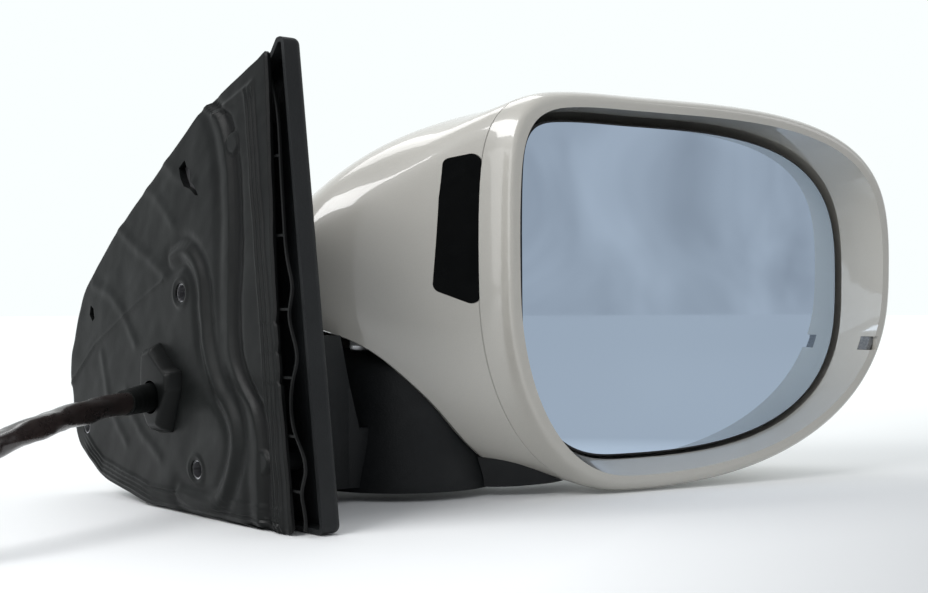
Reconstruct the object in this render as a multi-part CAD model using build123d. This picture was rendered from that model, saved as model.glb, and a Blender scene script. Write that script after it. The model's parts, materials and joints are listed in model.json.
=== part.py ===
from build123d import *
import math
import os

# Car door mirror, right-hand door. Millimetres.
# X = 0 is the face against the door, +X outboard, +Y towards the front of the car, +Z up.

# ---- head: its own frame is (t outboard along the glass, w forward, z up) ----
HEAD_ORIGIN = (125.0, -50.0)
HEAD_TURN = -10.0
WALL = 2.6
GAP = 0.5
# forward station, then left, right, bottom, top, middle height and the four corner powers
# (top left, top right, bottom left, bottom right)
STATIONS = [
    (0.0, 1.0, 235.0, -55.0, 127.0, 45.0, 5.5, 3.5, 2.2, 2.3),
    (12.0, -18.0, 234.0, -54.2, 127.0, 42.0, 4.0, 3.3, 2.2, 2.3),
    (28.0, -53.0, 231.0, -51.8, 126.0, 38.0, 2.6, 3.2, 2.2, 2.4),
    (45.0, -76.5, 223.5, -47.5, 122.8, 36.0, 2.4, 3.1, 2.1, 2.5),
    (62.0, -86.0, 212.5, -41.0, 116.0, 34.0, 2.2, 2.95, 2.1, 2.4),
    (80.0, -83.5, 195.0, -30.0, 105.0, 34.0, 2.2, 2.7, 2.05, 2.25),
    (98.0, -66.5, 167.0, -13.0, 88.0, 34.5, 2.1, 2.4, 2.0, 2.1),
    (113.0, -38.0, 132.0, 5.0, 67.5, 35.0, 2.0, 2.2, 2.0, 2.0),
    (123.0, 0.0, 98.0, 20.0, 50.0, 35.0, 2.0, 2.0, 2.0, 2.0),
    (127.0, 32.0, 68.0, 29.5, 40.5, 35.0, 2.0, 2.0, 2.0, 2.0),
]
SECTION_MIDDLE = 70.0
SECTION_POINTS = 36
LIP = [(-3.0, 4.0), (-1.8, 1.1)]  # forward station and inset of the rim's rounded lip
RIM_DEPTH = 7.0

# ---- head shells ----
# line in (t, z) over which the painted shell ends and the foot shows
SEAM = [(-110, 30), (-78, 22.5), (-67.6, 19.3), (-53.5, 12.7), (-35.6, -1.6), (-24, -12.5),
        (-11.7, -25.5), (-3, -33.7), (9, -42), (20, -50), (26, -60)]
# black cover beside the pivot: place, turned profile (radius, z), floor (w, z), rear side (t, w)
DISH_PLACE = (24.0, 49.0)
DISH = [(26.0, -53.2), (36.0, -51.6), (44.0, -47.5), (50.0, -40.0), (54.0, -28.0)]
DISH_TOP = -8.0
DISH_RISE = [(-20.0, -53.2), (40.0, -53.2), (50.0, -51.0), (60.0, -43.5), (90.0, -16.0)]
DISH_REAR = [(1.0, 25.5), (8.0, 21.0), (20.0, 15.5), (33.0, 12.0), (48.0, 10.0), (90.0, 10.0)]
# outline of the assist lens in (t, z)
LENS = [(-26.5, 37.5), (-6.5, 29.5), (-5.8, 99.0), (-21.0, 95.5), (-23.6, 78.0)]
LENS_RADIUS = 4.0

# ---- glass ----
GLASS_OUTLINE = (24.5, 219.0, -41.0, 116.5, 40.0, 8.0, 3.3, 2.75, 2.7)
GLASS_MIDDLE = 80.0
GLASS_FACE = 22.0
GLASS_THICK = 2.0
THROAT_MARGIN = (-2.2, 2.4, -2.2, 4.6)  # left, right, bottom, top
THROAT = 19.5
MOUTH_INSET = 6.5
GLASS_CENTRE = (122.0, 38.0)
TILT_W = 35.0  # forward place of the tilt centre
JACK_ARM = 34.0

# ---- fold pivot ----
PIVOT = (118.0, 14.0)
TOWER_R = 38.6
TOWER_FLARE = [(-22.0, 0.0), (-30.0, 0.8), (-38.0, 2.8), (-45.5, 4.8), (-51.0, 5.6)]  # level and widening
TOWER_TOP = 10.0
FOOT_BOTTOM = -56.0
TOWER_BOTTOM = -52.7
SHAFT_R = 8.0
SHAFT_BORE_R = 5.6
RUN_CLEAR = 0.05
FOLD_BACK = 56.0
FOLD_FORWARD = 35.0

HUB_R, HUB_LOW, HUB_TOP = 24.0, 12.0, 31.0
RING_LOW = 8.0
STOP_R, STOP_PIN_R = 18.0, 1.5
FLANGE_LOW, SHAFT_TOP = -41.0, 69.5
GEAR_R, GEAR_TEETH, GEAR_LOW = 15.0, 24, 37.5
SPRING_LOW, SPRING_TOP, SPRING_WIRE, SPRING_TURNS = 42.5, 60.5, 1.1, 5
WORM_R, THREAD_DEEP, THREAD_WIDE = 4.5, 1.4, 1.2
WORM_PITCH = 2 * math.pi * GEAR_R / GEAR_TEETH
WORM_REACH = GEAR_R + WORM_R - 1.1
CASE_TOP = 68.5

# ---- glass drive ----
HEATER = 0.6
CROSS_R = 2.0
EAR = (6.6, 9.6)
BALL_R = 3.4
JACK_R = 4.0
ACTUATOR = (78.0, 166.0, 47.0, 71.0, -6.0, 82.0)
JACKS = [(GLASS_CENTRE[0] + JACK_ARM, GLASS_CENTRE[1]), (GLASS_CENTRE[0], GLASS_CENTRE[1] - JACK_ARM)]
MOTORS = [(100.0, 20.5), (100.0, 55.5)]
PLATE = 3.0
WINDOW_PLACE = (1.0, 10.5)

# ---- base ----
GASKET = 3.0
PLATE_FACE = 6.2  # outer face of the bracket's plate
SAIL_LOW, SAIL_HIGH = (-56.0, 10.2, 19.5), (135.5, 4.9, 13.5)  # level, inner face, outer face
SAIL_WALL = 2.0
BOSS_END = 13.2
INSERT_FACE = 0.6
# outline of the sail and the gasket over their common run, seen from the door
OUTLINE_RUN = [(-4.0, 111.6), (76.0, 60.0), (104.0, 36.0), (118.5, 4.0), (111.5, -32.0),
               (86.0, -47.5), (40.0, -55.6), (-4.0, -56.0)]
RUN_RADII = [40.0, 120.0, 30.0, 22.0, 16.0, 40.0, 60.0, 60.0]
COVER_TOP, COVER_REAR = [(-58.6, 135.5), (-53.6, 135.0), (-48.5, 129.0)], [(-78.0, -56.0)]
COVER_RADII, COVER_REAR_RADII = [3.0, 1.5, 8.0], [3.0]
GASKET_TOP, GASKET_REAR = [(-52.6, 131.0), (-45.0, 127.0)], [(-70.3, -56.0), (-58.4, 25.0)]
GASKET_RADII, GASKET_REAR_RADII = [2.0, 10.0], [3.0, 600.0]
# bolt places with the core radius of their thread, the insert and the boss
BOLTS = [(12.0, 36.0, 3.4, 5.6, 8.0), (-1.0, -37.0, 3.4, 5.6, 8.0), (100.0, -26.0, 2.5, 4.0, 5.5)]
COVER_SCREWS = [(-28.0, 96.0), (-50.0, -30.0), (78.0, 12.0)]
SLOT_EDGE, SLOT_LEAN = -44.0, -6.3
CABLE_Y, CABLE_Z = 24.0, -8.0
CABLE_R = 5.0
GROMMET, GROMMET_R, GROMMET_OUT = (14.5, 37.5, -21.5, 11.0), 3.0, 13.0
CLIP_HOLE = (3.0, 10.0, 81.0, 88.0)  # Y and Z range of the square clip opening
BEAM_SIDES = (-2.0, 32.0)
PIVOT_SCREW_TURNS, PIVOT_SCREW_RING = (30, 150, 270), 13.0
REPEATER = (36.0, 52.0)  # lowest and highest level of the turn-signal lens
ARM_TOP, ARM_LOW, ARM_SLOPE = 17.5, -24.0, -3.5
ARM_CUT = (44.5, 58.5)  # radii of the hollow cone in which the head turns, low and high
BEAM_LOW, BEAM_TOP = -45.0, -27.0
SEAT_R = 22.0
# thin wavy lip in the slot (Y, Z), the levels of its bridges, and its width and X range
SEAL = [(-50.0, 122.0), (-54.5, 114.0), (-58.9, 88.0), (-61.4, 63.0), (-64.6, 46.0), (-67.0, 37.5),
        (-65.0, 28.5), (-69.4, 15.5), (-70.3, 11.5), (-67.8, 3.5), (-69.6, -18.5), (-73.6, -24.0),
        (-76.0, -31.5), (-73.6, -39.5), (-75.6, -47.5), (-75.9, -54.0)]
SEAL_BRIDGES = (88.8, 58.0, 29.6, 3.5, -18.7, -39.4)
SEAL_WIDE, SEAL_FACE, SEAL_BACK = 1.0, 3.0, 4.0


def place(part):
    """Head frame to the mirror's own frame."""
    return Pos(HEAD_ORIGIN[0], HEAD_ORIGIN[1], 0) * Rot(0, 0, HEAD_TURN) * part


def to_head(x, y):
    """A plan point of the mirror's frame in the head frame."""
    a = math.radians(-HEAD_TURN)
    dx, dy = x - HEAD_ORIGIN[0], y - HEAD_ORIGIN[1]
    return dx * math.cos(a) - dy * math.sin(a), dx * math.sin(a) + dy * math.cos(a)


def oval(w, left, right, bottom, top, middle_t, middle_z, powers, inset=0.0):
    """Closed outline of four corner curves |x|^n + |y|^n = 1, standing at station w."""
    left, right, bottom, top = left + inset, right - inset, bottom + inset, top - inset
    points = []
    for i in range(SECTION_POINTS):
        turn = 2 * math.pi * i / SECTION_POINTS
        c, s = math.cos(turn), math.sin(turn)
        power = powers[(0 if s >= 0 else 2) + (1 if c >= 0 else 0)]
        reach = right - middle_t if c >= 0 else middle_t - left
        rise = top - middle_z if s >= 0 else middle_z - bottom
        t = middle_t + math.copysign(abs(c) ** (2 / power), c) * reach
        z = middle_z + math.copysign(abs(s) ** (2 / power), s) * rise
        points.append((t, w, z))
    return Face(Wire([Edge.make_spline([Vector(*p) for p in points], periodic=True)]))


def section(station, inset=0.0, w=None):
    at, left, right, bottom, top, middle_z, *powers = station
    return oval(at if w is None else w, left, right, bottom, top, SECTION_MIDDLE, middle_z, powers, inset)


def envelope(inset=0.0):
    """The head's outer form, or the same form drawn in by the wall."""
    faces = [section(STATIONS[0], inset + lip, w) for w, lip in LIP]
    faces += [section(s, inset) for s in STATIONS[:-1]]
    last = STATIONS[-1]
    faces.append(section(last, inset / 2, last[0] - inset))
    return loft(faces)


def glass_outline(w, grow=0.0, margin=(0, 0, 0, 0)):
    left, right, bottom, top, middle_z, *powers = GLASS_OUTLINE
    return oval(w, left + margin[0], right + margin[1], bottom + margin[2], top + margin[3],
                GLASS_MIDDLE, middle_z, powers, -grow)


def slab(face, forward):
    """A face of the head frame pushed forward along +w."""
    return extrude(face, amount=forward, dir=(0, 1, 0))


def box(x0, x1, y0, y1, z0, z1):
    return Pos((x0 + x1) / 2, (y0 + y1) / 2, (z0 + z1) / 2) * Box(x1 - x0, y1 - y0, z1 - z0)


def rod(x, y, z0, z1, r, bore=0.0):
    """Upright cylinder or tube."""
    body = Pos(x, y, (z0 + z1) / 2) * Cylinder(r, z1 - z0)
    if bore:
        body -= Pos(x, y, (z0 + z1) / 2) * Cylinder(bore, z1 - z0 + 2)
    return body


def pin_w(t, z, w0, w1, r):
    """Cylinder along the head's forward axis."""
    return Pos(t, (w0 + w1) / 2, z) * Rot(90, 0, 0) * Cylinder(r, abs(w1 - w0))


def pin_t(w, z, t0, t1, r):
    """Cylinder along the head's outboard axis."""
    return Pos((t0 + t1) / 2, w, z) * Rot(0, 90, 0) * Cylinder(r, abs(t1 - t0))


def pin_x(y, z, x0, x1, r):
    return Pos((x0 + x1) / 2, y, z) * Rot(0, 90, 0) * Cylinder(r, abs(x1 - x0))


def save(name, part):
    export_step(part, f"parts/{name}.step")


# ---------------------------------------------------------------- head shells
PIVOT_T, PIVOT_W = to_head(*PIVOT)


def below_seam():
    """Room for the foot: everything under the seam line that falls outboard."""
    top = [(x, 0, z) for x, z in SEAM]
    last = top[-1]
    outline = Wire([
        Edge.make_spline([Vector(*p) for p in top]),
        Edge.make_line(last, (last[0] + 2, 0, -80)),
        Edge.make_line((last[0] + 2, 0, -80), (-110, 0, -80)),
        Edge.make_line((-110, 0, -80), top[0]),
    ])
    return Pos(0, -6, 0) * slab(Face(outline), 150)


def lower_cover_dish():
    """Black dish beside the pivot that closes the head's underside."""
    return dish_block(0.0) - dish_block(WALL)


def dish_block(inset):
    side = [(r - inset, z + inset) for r, z in DISH]
    profile = Polyline((0, side[0][1]), *side, (side[-1][0], DISH_TOP), (0, DISH_TOP), close=True)
    bowl = Pos(*DISH_PLACE, 0) * revolve(Plane.XZ * make_face(profile), Axis.Z)
    floor = [(w, z + inset * 1.2) for w, z in DISH_RISE]
    above = Polyline(*floor, (floor[-1][0], 20), (floor[0][0], 20), close=True)
    bowl &= extrude(Plane.YZ * make_face(above), amount=200, both=True)
    bowl &= dish_plan(inset)
    return bowl - Pos(PIVOT_T, PIVOT_W, 0) * tower_form(GAP + inset, 20, -90)


def dish_plan(inset):
    """Upright prism over the dish's plan, its rear side drawn as a curve."""
    left = DISH_REAR[0][0] + inset
    rear = [(left, DISH_REAR[0][1] + inset)] + [(t, w + inset) for t, w in DISH_REAR[1:]]
    corners = [rear[-1], (200, rear[-1][1]), (200, 200), (left, 200), rear[0]]
    sides = [Edge.make_line(one, two) for one, two in zip(corners, corners[1:])]
    plan = Wire([Edge.make_spline([Vector(t, w) for t, w in rear])] + sides)
    return extrude(Pos(0, 0, -90) * Face(plan), amount=90, dir=(0, 0, 1))


def lens_prism(shrink=0.0):
    outline = FilletPolyline(*[(t, z) for t, z in LENS], radius=LENS_RADIUS, close=True)
    face = Plane.XZ * make_face(outline)
    if shrink:
        face = offset(face, -shrink)
    return slab(Pos(0, 1, 0) * face, 32)


def repeater_zone(shrink=0.0):
    """Band of the nose that the turn-signal lens fills."""
    return box(96 + shrink, 260, 44, 140, REPEATER[0] + shrink, REPEATER[1] - shrink)


def head_shells(outer, inner):
    """Painted shell, black lower cover, assist lens and turn-signal lens."""
    wall = outer - inner
    wall -= box(-150, 260, -10, RIM_DEPTH + 0.3, -90, 160)
    room = Pos(PIVOT_T, PIVOT_W, 0) * tower_form(GAP, TOWER_TOP + 3, -90)
    shell = wall - below_seam() - lens_prism() - repeater_zone() - room - funnel_form(GAP)
    lower = lower_cover_dish() - outer
    lens = wall & lens_prism(0.35)
    repeater = wall & repeater_zone(0.3)
    return biggest(shell), biggest(lower), biggest(lens), biggest(repeater)


def biggest(part):
    return max(part.solids(), key=lambda s: s.volume)


def window_box(grow=0.0):
    w, z = WINDOW_PLACE
    return box(217, 224.5, w - 4.5 - grow, w + 4.5 + grow, z - 3.3 - grow, z + 3.3 + grow)


def funnel_form(grow=0.0):
    """Solid form of the funnel's outside."""
    back = section(STATIONS[0], MOUTH_INSET - 2.2 - grow, 0.0)
    return loft([back, glass_outline(THROAT, 1.8 + grow, THROAT_MARGIN)], ruled=True)


def bezel_rim(outer):
    """Painted ring with a rounded lip and a funnel, and the small window set in the funnel."""
    ring = outer & box(-150, 260, -10, RIM_DEPTH, -90, 160)
    ring -= slab(section(STATIONS[0], WALL + 1.5, 2.5), 30)
    mouth = section(STATIONS[0], MOUTH_INSET, -3.5)
    throat = glass_outline(THROAT, margin=THROAT_MARGIN)
    void = loft([mouth, throat], ruled=True) + slab(throat, 10)
    skin = funnel_form()
    funnel = (ring + skin) - void
    pane = (skin - void) & window_box()
    return biggest(funnel - window_box(0.15)), biggest(pane)


# ---------------------------------------------------------------- glass and its drive
def glass_parts():
    glass = slab(glass_outline(GLASS_FACE), GLASS_THICK)
    back = GLASS_FACE + GLASS_THICK
    pad = slab(glass_outline(back, -6), HEATER)
    holder = slab(glass_outline(GLASS_FACE + 0.6, 0.8), 2.4) + slab(glass_outline(back, -5), 3)
    holder -= slab(glass_outline(GLASS_FACE - 1, 0.05), 1 + GLASS_THICK)
    holder -= slab(glass_outline(back - 0.1, -5.9), HEATER + 0.1)
    t, z = GLASS_CENTRE
    face = GLASS_FACE + 5.0
    for side in (-1, 1):
        low, high = sorted((z + side * EAR[0], z + side * EAR[1]))
        ear = box(t - 4, t + 4, face, TILT_W + 4, low, high)
        holder += ear - Pos(t, TILT_W, z) * Cylinder(CROSS_R + RUN_CLEAR, 40)
    for place_t, place_z in JACKS:
        cup = pin_w(place_t, place_z, face, face + 6, 7) - pin_w(place_t, place_z, face - 1, face + 7, 4.8)
        holder += cup
    return glass, pad, holder


def tilt_cross():
    t, z = GLASS_CENTRE
    cross = box(t - 5, t + 5, TILT_W - 4.5, TILT_W + 4.5, z - 5, z + 5)
    cross += pin_t(TILT_W, z, t - EAR[1], t + EAR[1], CROSS_R)
    cross += Pos(t, TILT_W, z) * Cylinder(CROSS_R, 2 * EAR[1])
    return cross


def jack(place_t, place_z):
    """Push rod with a ball end that sits in a cup of the glass holder."""
    ball_w = GLASS_FACE + 5.0 + BALL_R + 0.5
    rod_part = pin_w(place_t, place_z, ball_w, ACTUATOR[2] + 17, 2.4)
    sleeve = pin_w(place_t, place_z, ACTUATOR[2] - 6, ACTUATOR[2] + 17, JACK_R)
    return rod_part + sleeve + Pos(place_t, ball_w, place_z) * Sphere(BALL_R)


def actuator():
    """Housing with jack guides and cross bearings, its lid, and the two tilt motors."""
    t0, t1, w0, w1, z0, z1 = ACTUATOR
    t, z = GLASS_CENTRE
    body = fillet(box(t0, t1, w0, w1, z0, z1).edges().filter_by(Axis.Y), 14)
    room = box(t0 + 2.5, t1 - 2.5, w0 + 2.5, w1 + 1, z0 + 2.5, z1 - 2.5)
    body -= fillet(room.edges().filter_by(Axis.Y), 11.5)
    for place_t, place_z in JACKS:
        body += pin_w(place_t, place_z, w0, w0 + 12, JACK_R + 2.5)
        body -= pin_w(place_t, place_z, w0 - 1, w1, JACK_R + RUN_CLEAR)
    for side in (-1, 1):
        low, high = sorted((t + side * EAR[0], t + side * EAR[1]))
        body += box(low, high, TILT_W - 4, w0 + 2, z - 4, z + 4)
    body -= pin_t(TILT_W, z, t - 30, t + 30, CROSS_R + RUN_CLEAR)
    lid = fillet(box(t0, t1, w1, w1 + 2.5, z0, z1).edges().filter_by(Axis.Y), 14)
    for screw_t, screw_z in screw_places():
        body += pin_w(screw_t, screw_z, w0 + 1, w1, 4) - pin_w(screw_t, screw_z, w0 + 8, w1 + 1, 1.5)
        lid -= pin_w(screw_t, screw_z, w1 - 1, w1 + 4, 1.7)
    motors = []
    for motor_t, motor_z in MOTORS:
        motor = pin_t(w0 + 13, motor_z, motor_t - 13, motor_t + 13, 9)
        motors.append(motor + pin_t(w0 + 13, motor_z, motor_t + 13, motor_t + 19, 1.2))
    return body, lid, motors


def screw_places():
    t0, t1, _, _, z0, z1 = ACTUATOR
    return [(t, z) for t in (t0 + 12, t1 - 12) for z in (z0 + 12, z1 - 12)]


def actuator_screws():
    """Four screws through the frame and the lid into the drive housing."""
    seat = ACTUATOR[3] + 2.5 + PLATE
    return [pin_w(t, z, seat + 0.02, seat + 2.4, 3.6) + pin_w(t, z, seat - 16, seat + 1, 1.45)
            for t, z in screw_places()]


# ---------------------------------------------------------------- head frame and fold drive
def head_frame():
    """Carrier: hub on the shaft, arm and plate behind the glass drive."""
    t0, t1, w0, w1, z0, z1 = ACTUATOR
    face = w1 + 2.5
    hub = rod(PIVOT_T, PIVOT_W, HUB_LOW, HUB_TOP, HUB_R)
    arm = box(PIVOT_T + 6, t0 + 20, face - 14, face + PLATE, HUB_LOW, HUB_TOP)
    arm -= box(t0 - 8, t0 + 30, 0, face, -90, 160)
    plate = fillet(box(t0 - 14, t1, face, face + PLATE, z0, z1).edges().filter_by(Axis.Y), 12)
    window = fillet(box(t0 + 30, t1 - 30, face - 1, face + 9, z0 + 30, z1 - 30).edges().filter_by(Axis.Y), 8)
    frame = hub + arm + (plate - window)
    for t, z in screw_places():
        frame -= pin_w(t, z, face - 1, face + 9, 1.7)
    frame -= rod(PIVOT_T, PIVOT_W, -90, 90, SHAFT_R + RUN_CLEAR)
    stop = rod(PIVOT_T + STOP_R, PIVOT_W, RING_LOW + 1.0, HUB_LOW + 4, STOP_PIN_R)
    return frame + stop


def stop_ring():
    """Fixed ring whose slot holds the frame's stop pin between the two folded positions."""
    ring = rod(PIVOT_T, PIVOT_W, RING_LOW, HUB_LOW - 0.3, HUB_R, SHAFT_R)
    slot = rod(0, 0, RING_LOW + 0.7, 90, STOP_R + 1.9, STOP_R - 1.9)
    spread = math.degrees((STOP_PIN_R + 0.5) / STOP_R)
    low, high = -FOLD_BACK - spread, FOLD_FORWARD + spread
    reach = [(0, 0)] + [(60 * math.cos(math.radians(a)), 60 * math.sin(math.radians(a)))
                        for a in (low, low / 2, 0, high / 2, high)]
    wedge = extrude(make_face(Polyline(*reach, close=True)), amount=90)
    return ring - Pos(PIVOT_T, PIVOT_W, 0) * (slot & wedge)


def pivot_shaft():
    shaft = rod(PIVOT_T, PIVOT_W, FLANGE_LOW, SHAFT_TOP, SHAFT_R)
    shaft += rod(PIVOT_T, PIVOT_W, FLANGE_LOW, FLANGE_LOW + 3.5, 17)
    shaft -= rod(PIVOT_T, PIVOT_W, -90, 90, SHAFT_BORE_R)
    for a in PIVOT_SCREW_TURNS:
        shaft -= rod(*around(PIVOT_T, PIVOT_W, PIVOT_SCREW_RING, a), -90, FLANGE_LOW + 10, 1.8)
    return shaft


def around(x, y, r, degrees):
    return x + r * math.cos(math.radians(degrees)), y + r * math.sin(math.radians(degrees))


def pivot_screws():
    screws = []
    for a in PIVOT_SCREW_TURNS:
        x, y = around(PIVOT_T, PIVOT_W, PIVOT_SCREW_RING, a)
        cap = rod(x, y, FLANGE_LOW - 2.2, FLANGE_LOW - 0.02, 3)
        screws.append(cap + rod(x, y, FLANGE_LOW - 1, FLANGE_LOW + 11, 1.6))
    return screws


def fold_gear():
    """Wheel clamped on the shaft; the worm walks the head round it."""
    wheel = rod(PIVOT_T, PIVOT_W, GEAR_LOW, GEAR_LOW + 5, GEAR_R - 1.6, SHAFT_R)
    for i in range(GEAR_TEETH):
        tooth = box(GEAR_R - 2.2, GEAR_R, -0.75, 0.75, GEAR_LOW, GEAR_LOW + 5)
        wheel += Pos(PIVOT_T, PIVOT_W, 0) * Rot(0, 0, (i + 0.5) * 360 / GEAR_TEETH) * tooth
    return wheel


def fold_spring():
    turns_high = SPRING_TOP - SPRING_LOW - 2 * SPRING_WIRE
    coil = Helix(pitch=turns_high / SPRING_TURNS, height=turns_high, radius=SHAFT_R + SPRING_WIRE + 0.6)
    wire = sweep(Plane(coil @ 0, z_dir=coil % 0) * Circle(SPRING_WIRE), path=coil, is_frenet=True)
    return Pos(PIVOT_T, PIVOT_W, SPRING_LOW + SPRING_WIRE) * wire


def fold_worm():
    """Steel worm in mesh with the wheel, on the motor's axis."""
    t, z = PIVOT_T + WORM_REACH, GEAR_LOW + 2.5
    core = pin_w(t, z, PIVOT_W - 10.5, PIVOT_W + 13, WORM_R - THREAD_DEEP)
    coil = Helix(pitch=WORM_PITCH, height=5 * WORM_PITCH, radius=WORM_R - THREAD_DEEP)
    half = THREAD_WIDE / 2
    rib = Polyline((-0.5, -0.8), (THREAD_DEEP, -half), (THREAD_DEEP, half), (-0.5, 0.8), close=True)
    start = Plane(coil @ 0, x_dir=(1, 0, 0), z_dir=coil % 0)
    thread = sweep(start * make_face(rib), path=coil, is_frenet=True)
    return core + Pos(t, PIVOT_W - 2.5 * WORM_PITCH, z) * Rot(-90, 0, 0) * thread


def fold_case():
    """Gear case on the hub, with a tunnel for the worm and its motor."""
    t = PIVOT_T + WORM_REACH
    z = GEAR_LOW + 2.5
    case = rod(PIVOT_T, PIVOT_W, HUB_TOP, CASE_TOP, HUB_R)
    case += box(t - 9, t + 13, PIVOT_W - 15, PIVOT_W + 44, HUB_TOP, z + 12.5)
    case -= rod(PIVOT_T, PIVOT_W, HUB_TOP - 1, HUB_TOP + 1.5, SHAFT_R + RUN_CLEAR)
    case -= rod(PIVOT_T, PIVOT_W, HUB_TOP + 1.5, CASE_TOP - 2, GEAR_R + 1)
    case -= rod(PIVOT_T, PIVOT_W, CASE_TOP - 3, CASE_TOP + 1, SHAFT_R + 0.4)
    case -= pin_w(t, z, PIVOT_W - 11, PIVOT_W + 15, WORM_R + 0.8)
    case -= pin_w(t, z, PIVOT_W + 14.9, PIVOT_W + 41, 8.9)
    return case


def fold_motor():
    t = PIVOT_T + WORM_REACH
    z = GEAR_LOW + 2.5
    return pin_w(t, z, PIVOT_W + 16, PIVOT_W + 40.5, 8.8) + pin_w(t, z, PIVOT_W + 13.3, PIVOT_W + 16.5, 1.2)


# ---------------------------------------------------------------- foot (mirror's own frame)
def base_face(top, top_radii, rear, rear_radii):
    radii = [*top_radii, *RUN_RADII, *rear_radii]
    outline = FilletPolyline(*top, *OUTLINE_RUN, *rear, radius=radii, close=True)
    return Plane.YZ * make_face(outline)


def base_slab(x0, x1, shrink=0.0):
    face = base_face(COVER_TOP, COVER_RADII, COVER_REAR, COVER_REAR_RADII)
    if shrink:
        face = offset(face, -shrink)
    return extrude(Pos(x0, 0, 0) * face, amount=x1 - x0, dir=(1, 0, 0))


def sail_x(z, column):
    """X of the sail's inner (1) or outer (2) face at a level."""
    share = (z - SAIL_LOW[0]) / (SAIL_HIGH[0] - SAIL_LOW[0])
    return SAIL_LOW[column] + share * (SAIL_HIGH[column] - SAIL_LOW[column])


def sail_form(shrink=0.0, inner=0.0, outer=0.0):
    """Sail between two leaning faces, each moved inboard by its own amount."""
    low, high = -70, 150
    profile = Polyline((sail_x(low, 1) - inner, low), (sail_x(low, 2) - outer, low),
                       (sail_x(high, 2) - outer, high), (sail_x(high, 1) - inner, high), close=True)
    wedge = extrude(Plane.XZ * make_face(profile), amount=200, both=True)
    return base_slab(0, 30, shrink) & wedge


def arm_form(shrink=0.0, x0=12.0):
    """Arm from the sail to the pivot, its top cut low where the head turns over it."""
    s = shrink
    plan = [(x0, -32 + s), (72, -8.5 + s), (PIVOT[0], PIVOT[1] - 12), (PIVOT[0], PIVOT[1] + 12),
            (72, 40 - s), (x0, 58 - s)]
    arm = extrude(Pos(0, 0, FOOT_BOTTOM + s) * make_face(Polyline(*plan, close=True)),
                  amount=ARM_TOP - FOOT_BOTTOM - 2 * s)
    cone = Cone(ARM_CUT[0] + s, ARM_CUT[1] + s, ARM_TOP + 1 - ARM_LOW)
    arm -= Pos(*PIVOT, (ARM_TOP + 1 + ARM_LOW) / 2 - s) * cone
    arm -= rod(*PIVOT, ARM_TOP + 1 - 2 * s, 90, ARM_CUT[1] + s)
    slope = Pos(PIVOT[0], 0, TOWER_BOTTOM + s) * Rot(0, -ARM_SLOPE, 0) * Pos(0, 0, -20) * Box(130, 200, 40)
    return arm - slope


def tower_form(grow, top, bottom):
    """Turned body with the tower's side, grown by a gap or shrunk by a wall."""
    flare = [Vector(TOWER_R + grow + more, z) for z, more in TOWER_FLARE]
    high, low = flare[0], flare[-1]
    side = Edge.make_spline(flare, tangents=[(0, -1), (0, -1)])
    corners = [low, (low.X, bottom), (0, bottom), (0, top), (high.X, top), high]
    profile = Wire([side] + [Edge.make_line(one, two) for one, two in zip(corners, corners[1:])])
    return revolve(Plane.XZ * Face(profile), Axis.Z)


def tower(shrink=0.0):
    s = shrink
    body = Pos(*PIVOT, 0) * tower_form(-s, TOWER_TOP - s, -60)
    body &= rod(*PIVOT, TOWER_BOTTOM + s, TOWER_TOP + 1, 90)
    return fillet(body.edges().filter_by(GeomType.CIRCLE).sort_by(Axis.Z)[-1], 9 - s / 2)


def base_cover():
    """Black outer shell: sail, arm and tower in one moulding."""
    sail = sail_form()
    sail = fillet(sail.faces().sort_by(Axis.X)[-1].edges(), 3.0)
    cover = sail + arm_form() + tower()
    cover -= sail_form(SAIL_WALL, 2.0, SAIL_WALL)
    cover -= arm_form(3.0, 10.0) + tower(3.0)
    cover -= rod(*PIVOT, 0, 90, HUB_R + 1.4)
    for y, z in COVER_SCREWS:
        end = sail_x(z, 2)
        cover += pin_x(y, z, 8.2, end - 2, 4) - pin_x(y, z, 0, end - 3, 1.4)
    return cover


def base_bracket():
    """Die-cast plate with bolt bosses, a channel arm and the pivot seat."""
    plate = base_slab(GASKET, PLATE_FACE, 5.0)
    plate &= box(0, 20, SLOT_EDGE, 200, -90, 160)
    y0, y1 = BEAM_SIDES
    beam = box(PLATE_FACE - 1.7, PIVOT[0], y0, y1, BEAM_LOW, BEAM_TOP)
    beam -= box(PLATE_FACE - 2.7, PIVOT[0] - SEAT_R - 4, y0 + 4, y1 - 4, BEAM_LOW - 1, BEAM_TOP - 4)
    seat = rod(*PIVOT, BEAM_LOW, RING_LOW, HUB_R)
    bracket = plate + beam + seat
    bracket -= rod(*PIVOT, -90, FLANGE_LOW + 3.5, SEAT_R - 4)
    bracket -= rod(*PIVOT, -90, 90, SHAFT_R)
    for a in PIVOT_SCREW_TURNS:
        x, y = around(*PIVOT, PIVOT_SCREW_RING, a + HEAD_TURN)
        bracket -= rod(x, y, -90, FLANGE_LOW + 12, 1.7)
    for y, z, _, insert_r, boss_r in BOLTS:
        bracket += pin_x(y, z, GASKET, BOSS_END, boss_r)
        bracket -= pin_x(y, z, 0, 40, insert_r)
    for y, z in COVER_SCREWS:
        bracket -= pin_x(y, z, 0, 12, 1.7)
    return bracket - pin_x(CABLE_Y, CABLE_Z, 0, 8, CABLE_R + 4)


def inserts():
    """Threaded sleeves that reach through the rubber, so that it isn't crushed."""
    return [pin_x(y, z, INSERT_FACE, BOSS_END, insert_r) - pin_x(y, z, 0, 40, core_r)
            for y, z, core_r, insert_r, _ in BOLTS]


def cover_screws():
    return [pin_x(y, z, GASKET - 2.2, GASKET - 0.02, 3.2) + pin_x(y, z, GASKET - 1, 11, 1.35)
            for y, z in COVER_SCREWS]


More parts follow.
